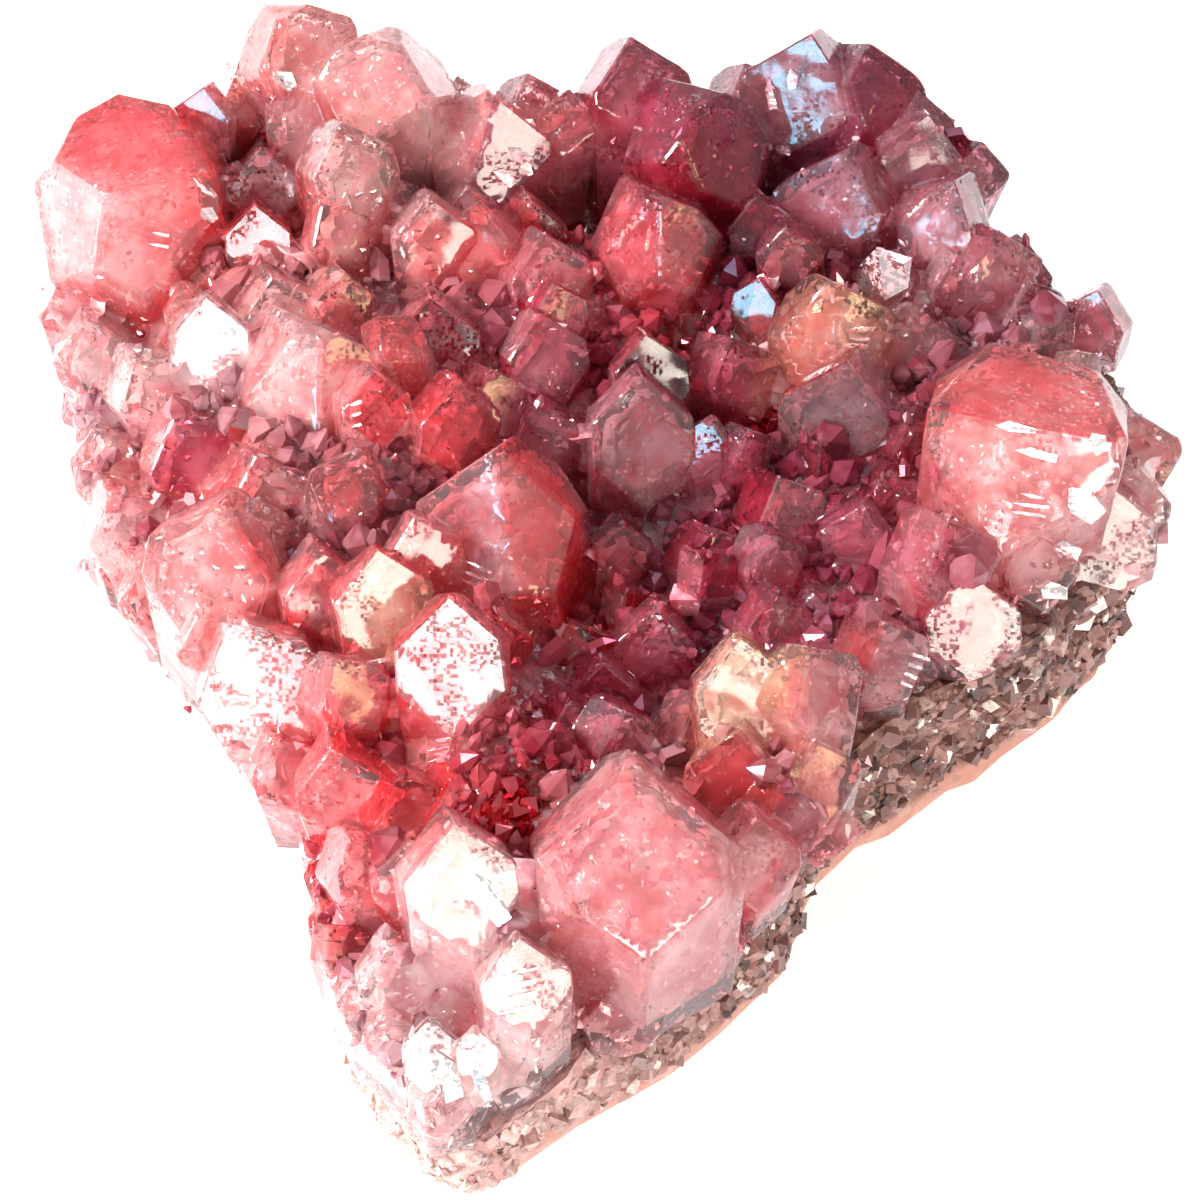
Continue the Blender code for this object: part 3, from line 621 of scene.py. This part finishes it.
def milkMaterial():
    m = Nodes("milkyInside")
    dye = m.attribute("dye")["Color"]
    clouds = m.noise(inside["clouds"], 3.0, 0.65)
    milky = m.mix(inside["milkiness"], dye, inside["milk"])
    body = m.mix(m.ramp(clouds, 0.36, 0.64), m.multiplied(dye, inside["deep"]), milky)
    specks = m.ramp(m.noise(inside["specks"], 1.0), 0.66, 0.72)
    m.shine(Base_Color=m.mix(specks, body, inside["speck"]), Roughness=inside["roughness"])
    return m.material


def makeMilkyInside(tops):
    piece = copyOfNode("amethyst_crystals", "milkyInside", crust["flatWithin"])
    applyModifier(piece, "REMESH", mode="VOXEL", voxel_size=inside["grid"])
    applyModifier(piece, "DISPLACE", strength=-inside["depth"] * mm, mid_level=0.0)
    roughenBy(piece, "CLOUDS", *inside["lumps"])
    paintDyeLightAndShade(piece, tops)
    shadeByAngle(piece, inside["smoothWithin"])
    piece.data.materials.append(milkMaterial())
    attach(piece, "root")
    say(f"milky inside, {triangleCount(piece)} triangles")
    return piece


# ---- cracks and veils inside the points, as thin flakes between the clear skin and the cloudy body

flakes = {
    "density": 0.80e6,
    "size": (0.25 * mm, 1.5 * mm),
    "depth": 0.45,  # of a flake's width, below the skin
    "lean": 0.50,
    "seed": 12,
    "thickness": 0.10,  # of its width too
    "deep": (0.92, 0.58, 0.62),
    "pale": (1.0, 0.88, 0.86),
    "shining": (0.74, 0.76),  # flakes with a tone above this are mirrors
    "roughness": 0.16,
    "gloss": 0.9,
}


def flakeMaterial():
    m = Nodes("innerFlakes")
    dye = m.attribute("dye")["Color"]
    facet = m.attribute("facet")["Fac"]
    pale = m.mix(0.55, dye, flakes["pale"])
    m.shine(
        Base_Color=m.mix(m.ramp(facet, 0.15, 0.85), m.multiplied(dye, flakes["deep"]), pale),
        Roughness=flakes["roughness"], Metallic=m.ramp(facet, *flakes["shining"]),
        Specular_IOR_Level=flakes["gloss"],
    )
    return m.material


def flatFlake(name, corners, width, length):
    bpy.ops.mesh.primitive_cone_add(
        vertices=corners, radius1=0.5, radius2=0.0, depth=flakes["thickness"],
        location=(0.0, 0.0, -flakes["depth"]),
    )
    flake = bpy.context.object
    flake.name = name
    flake.scale = (width, length, 1.0)
    bpy.ops.object.transform_apply(location=True, rotation=True, scale=True)
    return flake


def makeInnerFlakes(surface, tops):
    models = [
        flatFlake("roundFlake", 5, 1.0, 0.8),
        flatFlake("longFlake", 4, 0.45, 1.3),
        flatFlake("sharpFlake", 3, 0.9, 1.1),
    ]
    piece = scatter(
        "innerFlakes", surface, models, flakes["density"], flakes["size"], flakes["lean"],
        flakes["seed"],
    )
    paintDyeLightAndShade(piece, tops)
    piece.data.materials.clear()
    paintIslands(piece, flakes["seed"])
    piece.data.materials.append(flakeMaterial())
    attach(piece, "root")
    say(f"inner flakes, {triangleCount(piece)} triangles")
    return piece


# ---- small points that cover the crust wherever it lies low

druse = {
    "density": 0.60e6,  # points to the square metre
    "size": (0.7 * mm, 2.9 * mm),
    "lean": 0.40,
    "sink": 0.30,  # of a point's width, below the crust
    "offCentre": (0.12, -0.05),  # of the tip
    "tipShape": (0.22, 0.05, 1.0),
    "seed": 4,
    "clearness": 0.50,
    "clouds": 500.0,  # to the metre
    "pale": (0.66, 0.38, 0.42),
    "deep": (0.40, 0.13, 0.18),
    "shining": (0.95, 0.96),  # faces with a tone above this are mirrors
    "roughness": 0.09,
    "reflectionTint": (0.85, 0.45, 0.55),  # painted reflection: what the small faces reflect is tinted pink, standing in for the colour of their neighbours
}


def smallPointMaterial():
    m = Nodes("smallPointQuartz")
    dye = m.attribute("dye")["Color"]
    facet = m.attribute("facet")["Fac"]
    deep = m.multiplied(dye, druse["deep"])
    body = m.mix(m.ramp(facet, 0.1, 0.9), deep, m.multiplied(dye, druse["pale"]))
    clouds = m.ramp(m.noise(druse["clouds"], 1.0), 0.4, 0.6, 0.0, 0.25)
    m.shine(
        Base_Color=m.mix(clouds, body, dye), Metallic=m.ramp(facet, *druse["shining"]),
        Roughness=druse["roughness"], Transmission_Weight=druse["clearness"], IOR=quartzIor,
        Specular_Tint=druse["reflectionTint"],
    )
    return m.material


def smallPoint(name, width, waist, tip):
    # a six-sided column that ends in a slightly lopsided tip
    sideways, forwards = druse["offCentre"]
    bpy.ops.mesh.primitive_cylinder_add(
        vertices=6, radius=width / 2, depth=waist, location=(0.0, 0.0, waist / 2 - druse["sink"]),
    )
    point = bpy.context.object
    point.name = name
    bpy.ops.object.transform_apply(location=True, rotation=True, scale=True)
    bpy.ops.object.mode_set(mode="EDIT")
    bpy.ops.mesh.select_mode(type="FACE")
    bpy.ops.mesh.select_all(action="DESELECT")
    bpy.ops.object.mode_set(mode="OBJECT")
    for face in point.data.polygons:
        face.select = face.normal.z > 0.9
    bpy.ops.object.mode_set(mode="EDIT")
    bpy.ops.mesh.extrude_region_move(
        TRANSFORM_OT_translate={"value": (width * sideways, width * forwards, tip)},
    )
    bpy.ops.transform.resize(value=druse["tipShape"])
    bpy.ops.object.mode_set(mode="OBJECT")
    return point


def makeDruse(surface, tops):
    models = [
        smallPoint("shortPoint", 1.0, 0.55, 0.50),
        smallPoint("tallPoint", 0.8, 0.75, 0.55),
        smallPoint("stubbyPoint", 1.3, 0.42, 0.52),
    ]
    piece = scatter(
        "smallPoints", surface, models, druse["density"], druse["size"], druse["lean"], druse["seed"],
        "druse",
    )
    paintDyeLightAndShade(piece, tops)
    piece.data.materials.clear()
    paintFacets(piece, druse["seed"])
    piece.data.materials.append(smallPointMaterial())
    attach(piece, "root")
    say(f"small points, {triangleCount(piece)} triangles")
    return piece


# ---- growth steps and chips that shine, each turned so that it shows one of the lamps

stepLook = {
    "thickness": 0.3 * mm,
    "gap": 0.6,  # between rows, of a step's width
    "uneven": (0.55, 1.1),
    "twist": 12,  # degrees
    "ragged": 0.2,
    "seed": 3,
    "patches": 1500.0,  # to the metre
    "shining": (0.44, 0.52),
    "pale": (1.0, 0.93, 0.92),
    "paleness": 0.72,
    "grain": (300.0, 300.0, 3000.0),
    "grainDepth": 0.05,
    "roughness": 0.14,
}

# name, x and y in millimetres, width and length in millimetres, turn in degrees, lamp, rows
steps = (
    ("rightBandUpper", 34.7, 5.7, 0.9, 5.6, 76.0, "frontCard", 1),
    ("rightBandLower", 36.4, 4.2, 0.8, 6.2, 74.0, "frontCard", 1),
    ("rightLines", 36.0, 1.6, 0.3, 4.0, 75.0, "frontCard", 3),
    ("rightPatch", 41.3, 4.4, 1.8, 2.6, 20.0, "frontCard", 1),
    ("rightFleck", 33.4, 1.4, 0.5, 1.0, 30.0, "creamCard", 3),
    ("paleStripes", -12.4, -19.6, 0.4, 3.4, 88.0, "frontCard", 4),
    ("creamStripes", -18.6, -11.6, 0.4, 4.5, 80.0, "creamCard", 3),
    ("goldRight", 40.4, 1.4, 2.6, 4.0, 30.0, "creamCard", 1),
    ("goldRightLow", 38.6, -0.6, 1.6, 3.0, 60.0, "creamCard", 2),
    ("cyanGlint", 25.3, 31.2, 4.4, 4.6, 20.0, "blueCard", 1),
    ("lilacGlint", -29.8, 34.2, 2.0, 3.4, 20.0, "frontCard", 1),
    ("orangeGlint", -33.0, 45.4, 1.2, 1.8, 30.0, "goldCard", 1),
    ("backGold", -7.9, 43.4, 1.3, 2.6, 40.0, "creamCard", 2),
    ("backGoldLow", -5.8, 43.6, 1.0, 2.2, 10.0, "creamCard", 2),
    ("ladder", -20.8, 12.0, 0.35, 1.2, 90.0, "creamCard", 6),
    ("redArc", -10.2, -2.4, 0.30, 4.5, 56.0, "frontCard", 3),
    ("frontCream", -8.6, -38.0, 2.2, 4.5, 10.0, "creamCard", 1),
    ("frontStripes", -6.2, -44.0, 0.45, 3.4, 80.0, "creamCard", 4),
    ("tipTall", -12.0, -47.6, 2.2, 5.0, 5.0, "frontCard", 1),
    ("tipNarrow", -9.2, -48.0, 1.0, 3.8, 5.0, "frontCard", 1),
    ("goldStreaks", 22.6, 22.6, 0.45, 3.6, 60.0, "goldCard", 3),
    ("goldTop", 19.0, 24.4, 1.4, 2.0, 20.0, "goldCard", 1),
    ("wallSpikes", 25.5, -11.2, 0.4, 3.2, 62.0, "frontCard", 4),
    ("backWhite", 16.4, 49.3, 1.2, 3.6, 12.0, "blueCard", 2),
    ("backLow", 16.6, 45.8, 0.8, 2.0, 70.0, "blueCard", 1),
    ("backCream", -28.2, 49.0, 1.4, 2.2, 20.0, "creamCard", 1),
    ("leftFleck", -34.6, 35.8, 1.4, 2.2, 30.0, "frontCard", 1),
    ("leftLines", -39.0, 34.6, 0.35, 2.6, 68.0, "frontCard", 2),
    ("tallRidge", 4.2, 31.6, 0.35, 5.0, -22.0, "creamCard", 1),
)


def stepMaterial():
    m = Nodes("shiningSteps")
    dye = m.attribute("dye")["Color"]
    shining = m.ramp(m.noise(stepLook["patches"], 3.0, 0.75), *stepLook["shining"])
    grain = m.noise(1.0, 2.0, 0.6, place=m.stretched(stepLook["grain"]))
    m.shine(
        Base_Color=m.mix(shining, dye, m.mix(stepLook["paleness"], dye, stepLook["pale"])),
        Roughness=stepLook["roughness"], Metallic=shining,
        Normal=m.bump(grain, stepLook["grainDepth"], 0.8),
    )
    return m.material


def shiningStep(spot, width, length, turn, lamp, rng):
    # the plate's face is halfway between the eye and the lamp, as a mirror's would be
    eye = (bpy.context.scene.camera.location - spot).normalized()
    way = (eye + (bpy.data.objects[lamp].location - spot).normalized()).normalized()
    bpy.ops.mesh.primitive_cylinder_add(vertices=5, radius=0.5, depth=stepLook["thickness"])
    plate = bpy.context.object
    plate.scale = (width * mm, length * mm, 1.0)
    bpy.ops.object.transform_apply(location=False, rotation=False, scale=True)
    bpy.ops.object.mode_set(mode="EDIT")
    bpy.ops.mesh.select_all(action="SELECT")
    bpy.ops.transform.vertex_random(offset=stepLook["ragged"] * width * mm, seed=rng.randrange(999))
    bpy.ops.object.mode_set(mode="OBJECT")
    plate.rotation_mode = "QUATERNION"
    plate.rotation_quaternion = way.to_track_quat("Z", "Y") @ Quaternion((0, 0, 1), math.radians(turn))
    plate.location = spot
    bpy.ops.object.transform_apply(location=True, rotation=True, scale=True)
    return plate


def makeShiningSteps(surface, tops):
    plates = []
    rng = random.Random(stepLook["seed"])
    for _, x, y, width, length, turn, lamp, rows in steps:
        spin = math.radians(turn)
        for row in range(rows):
            shift = (row - (rows - 1) / 2) * width * (1 + stepLook["gap"])
            above = Vector((x + shift * math.cos(spin), y + shift * math.sin(spin), 60.0)) * mm
            hit, spot, _, _ = surface.ray_cast(above, Vector((0.0, 0.0, -1.0)))
            uneven = rng.uniform(*stepLook["uneven"])
            if hit:
                twisted = turn + stepLook["twist"] * uneven
                plates.append(shiningStep(spot, width, length * uneven, twisted, lamp, rng))
    makeActive(plates[0])
    for plate in plates:
        plate.select_set(True)
    bpy.ops.object.join()
    piece = bpy.context.object
    piece.name = "shiningSteps"
    paintDyeLightAndShade(piece, tops)
    piece.data.materials.clear()
    piece.data.materials.append(stepMaterial())
    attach(piece, "root")
    say(f"shining steps, {triangleCount(piece)} triangles")
    return piece


# ---- host rock

rock = {
    "flatWithin": 0.5,
    "longestEdge": 1.1 * mm,
    "lumps": (3.2, 2.0),  # size and depth in millimetres, as is the next
    "grit": (0.9, 0.5),
    "rind": (1.5, 5.0),  # in millimetres; the rock is smooth below and rough above
    "smoothWithin": 40,
    "dark": (0.09, 0.045, 0.038),
    "brown": (0.32, 0.15, 0.12),
    "pinkSide": (0.84, 0.46, 0.42),
    "pinkFrom": (-8.0 * mm, 14.0 * mm),  # from left to right
    "crumbs": (0.62, 0.40, 0.34),
    # painted shade: near-black spots stand for shaded pits
    "pitShade": (0.04, 0.022, 0.02),
    "specks": (0.90, 0.76, 0.70),
    "rindColour": (0.74, 0.36, 0.28),
    "rindEdge": (3.5 * mm, 6.0 * mm),
    "rindWaves": 3.0 * mm,
    "sparkTilt": 1.2,
    "sparkShare": 0.5,
}


def rockMaterial():
    m = Nodes("hostRock")
    cells = m.cells(800.0)
    crumbs = m.part(cells, "X")
    fine = m.noise(2000.0, 3.0, 0.75)
    base = m.mix(m.ramp(m.noise(260.0, 3.0, 0.75), 0.38, 0.62), rock["dark"], rock["brown"])
    pinkness = m.ramp(m.part(m.place, "X"), *rock["pinkFrom"], 0.7, 0.0)
    sided = m.mix(pinkness, base, rock["pinkSide"])
    crumbly = m.mix(m.ramp(crumbs, 0.55, 0.95, 0.0, 0.7), sided, rock["crumbs"])
    # painted shade of pits, near-black where the noise is low
    pitShaded = m.mix(m.ramp(m.noise(700.0, 4.0, 0.7), 0.30, 0.42, 1.0, 0.0), crumbly, rock["pitShade"])
    specked = m.mix(m.ramp(fine, 0.64, 0.70), pitShaded, rock["specks"])
    waves = m.math("MULTIPLY", m.noise(120.0, 3.0), rock["rindWaves"])
    edge = m.math("ADD", m.part(m.place, "Z"), waves)
    rinded = m.mix(m.ramp(edge, *rock["rindEdge"], 0.92, 0.0), specked, rock["rindColour"])
    glinting = m.ramp(crumbs, 0.5, 0.6)
    bumped = m.bump(fine, 0.25, 0.8)
    m.shine(
        Base_Color=rinded, Roughness=m.ramp(crumbs, 0.5, 0.7, 0.70, 0.18),
        Normal=m.glitter(cells, rock["sparkTilt"], rock["sparkShare"], glinting, bumped),
    )
    return m.material


def makeHostRock():
    piece = copyOfNode("rock_matrix", "hostRock", rock["flatWithin"])
    splitLongEdges(piece, rock["longestEdge"], 6)
    low, high = rock["rind"]
    rough = piece.vertex_groups.new(name="rough")
    for vert in piece.data.vertices:
        rise = (vert.co.z / mm - low) / (high - low)
        rough.add([vert.index], min(max(rise, 0.0), 1.0), "REPLACE")
    roughenBy(piece, "CLOUDS", *rock["lumps"], group="rough")
    roughenBy(piece, "STUCCI", *rock["grit"], group="rough")
    shadeByAngle(piece, rock["smoothWithin"])
    piece.data.materials.append(rockMaterial())
    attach(piece, "root")
    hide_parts("rock_matrix")
    say(f"host rock, {triangleCount(piece)} triangles")
    return piece


# ---- loose grains on the walls of the rock

grains = {
    "density": 1.1e6,  # grains to the square metre
    "size": (0.5 * mm, 2.2 * mm),
    "lean": 0.8,
    "above": (3.0, 5.0),  # in millimetres; none on the smooth rind below
    "slopes": (0.75, 0.5),  # upright part of the normal: none where flatter, all where steeper
    "blockWidth": 0.8,
    "shape": (1.0, 0.8, 0.6),
    "ragged": 0.14,
    "seed": 5,
    "darkest": (0.045, 0.022, 0.02),
    "dark": (0.22, 0.10, 0.085),
    "brown": (0.52, 0.28, 0.24),
    "glint": (0.95, 0.80, 0.70),
    "pinkSide": (0.86, 0.58, 0.53),
    "pinkFrom": (14.0 * mm, -6.0 * mm),  # from right to left
    "stain": (0.16, 0.08, 0.07),
    "shining": (0.86, 0.88),  # grains with a tone above this are mirrors
    "roughness": 0.32,
}


def grainMaterial():
    m = Nodes("rockGrains")
    facet = m.attribute("facet")["Fac"]
    fine = m.noise(1500.0, 3.0, 0.7)
    shining = m.ramp(facet, *grains["shining"])
    dark = m.mix(m.ramp(facet, 0.0, 0.3), grains["darkest"], grains["dark"])
    toned = m.mix(m.ramp(facet, 0.3, 0.75), dark, grains["brown"])
    glinting = m.mix(shining, toned, grains["glint"])
    pinkness = m.ramp(m.part(m.place, "X"), *grains["pinkFrom"], 0.0, 0.6)
    sided = m.mix(pinkness, glinting, grains["pinkSide"])
    m.shine(
        Base_Color=m.mix(m.ramp(fine, 0.35, 0.6, 0.5, 0.0), sided, grains["stain"]),
        Roughness=grains["roughness"], Metallic=shining, Normal=m.bump(fine, 0.12, 0.6),
    )
    return m.material


def looseGrain(name, kind):
    if kind == "round":
        bpy.ops.mesh.primitive_ico_sphere_add(subdivisions=1, radius=0.5)
    else:
        bpy.ops.mesh.primitive_cube_add(size=grains["blockWidth"])
    grain = bpy.context.object
    grain.name = name
    grain.scale = grains["shape"]
    bpy.ops.object.transform_apply(location=False, rotation=False, scale=True)
    bpy.ops.object.mode_set(mode="EDIT")
    bpy.ops.mesh.select_all(action="SELECT")
    bpy.ops.transform.vertex_random(offset=grains["ragged"], seed=grains["seed"])
    bpy.ops.object.mode_set(mode="OBJECT")
    return grain


def paintBare(piece):
    # one on the rock's bare walls, nothing on its rind, its underside or where the points sit
    low, high = grains["above"]
    normals = np.empty(len(piece.data.vertices) * 3)
    piece.data.vertex_normals.foreach_get("vector", normals)
    flattest, steepest = grains["slopes"]
    upright = np.abs(normals.reshape(-1, 3)[:, 2])
    wall = np.clip((flattest - upright) / (flattest - steepest), 0.0, 1.0)
    rise = np.clip((vertexPlaces(piece)[:, 2] / mm - low) / (high - low), 0.0, 1.0)
    layer = piece.data.attributes.new("bare", "FLOAT", "POINT")
    layer.data.foreach_set("value", wall * rise)


def makeRockGrains(surface):
    paintBare(surface)
    models = [looseGrain("roundGrain", "round"), looseGrain("blockGrain", "block")]
    piece = scatter(
        "rockGrains", surface, models, grains["density"], grains["size"], grains["lean"],
        grains["seed"], "bare",
    )
    paintIslands(piece, grains["seed"])
    piece.data.materials.clear()
    piece.data.materials.append(grainMaterial())
    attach(piece, "root")
    say(f"rock grains, {triangleCount(piece)} triangles")
    return piece


# ---- studio: floor, lights and world

studio = {
    "floorSize": 3.0,
    "floorColours": ((0.92, 0.92, 0.92), (0.94, 0.94, 0.94)),
    "floorGlow": 0.5,
    "below": 0.05 * mm,  # the floor lies this far under the rock
    "lampDistance": 0.72,
    "roomLight": 0.60,
    "roomColour": (1.0, 0.99, 0.98),
}


# name, bearing from the front, height above the floor in degrees, width in metres, brightness, colour
lamps = (
    ("keyFromLeft", -78.0, 36.0, 0.22, 78.0, (1.0, 0.96, 0.93)),
    ("windowLeft", -66.0, 12.0, 0.30, 9.0, (1.0, 0.95, 0.96)),
    ("frontCard", 2.0, 26.4, 0.13, 19.0, (1.0, 0.95, 0.97)),
    ("creamCard", 21.0, 26.0, 0.13, 17.0, (1.0, 0.92, 0.80)),
    ("blueCard", -34.0, 24.0, 0.13, 22.0, (0.28, 0.72, 1.0)),
    ("goldCard", 52.0, 20.0, 0.12, 13.0, (1.0, 0.68, 0.34)),
    ("skyFromBack", 172.0, 52.0, 0.55, 3.0, (0.80, 0.84, 1.0)),
)


def floorMaterial():
    m = Nodes("paperFloor")
    m.shine(
        Base_Color=m.mix(m.noise(900.0, 2.0), *studio["floorColours"]), Roughness=0.9,
        Specular_IOR_Level=0.1, Emission_Color=(1.0, 1.0, 1.0), Emission_Strength=studio["floorGlow"],
    )
    return m.material


def areaLight(name, bearing, height, width, brightness, colour):
    # brightness is what the lamp's face shows, so a lamp moved or resized keeps its look in a reflection
    turn = math.radians(bearing)
    lift = math.radians(height)
    way = Vector((math.sin(turn) * math.cos(lift), -math.cos(turn) * math.cos(lift), math.sin(lift)))
    bpy.ops.object.light_add(type="AREA", location=way * studio["lampDistance"] + Vector(view["target"]))
    lamp = bpy.context.object
    lamp.name = name
    lamp.data.shape = "DISK"
    lamp.data.size = width
    lamp.data.energy = brightness * math.pi * math.pi * (width / 2) ** 2
    lamp.data.color = colour
    lamp.rotation_euler = way.to_track_quat("Z", "Y").to_euler()


def makeStudio():
    bpy.ops.mesh.primitive_plane_add(size=studio["floorSize"], location=(0.0, 0.0, -studio["below"]))
    floor = bpy.context.object
    floor.name = "paperFloor"
    floor.data.materials.append(floorMaterial())
    for lamp in lamps:
        areaLight(*lamp)
    world = bpy.data.worlds.new("softRoom")
    bpy.context.scene.world = world
    world.use_nodes = True
    room = world.node_tree.nodes["Background"].inputs
    room["Color"].default_value = (*studio["roomColour"], 1.0)
    room["Strength"].default_value = studio["roomLight"]
    bpy.context.scene.view_settings.view_transform = "Standard"


addCamera()
makeStudio()
crystals, crustTops = makeCrystalCrust()
makeDruse(crystals, crustTops)
makeInnerFlakes(crystals, crustTops)
makeMilkyInside(crustTops)
makeShiningSteps(crystals, crustTops)
makeRockGrains(makeHostRock())
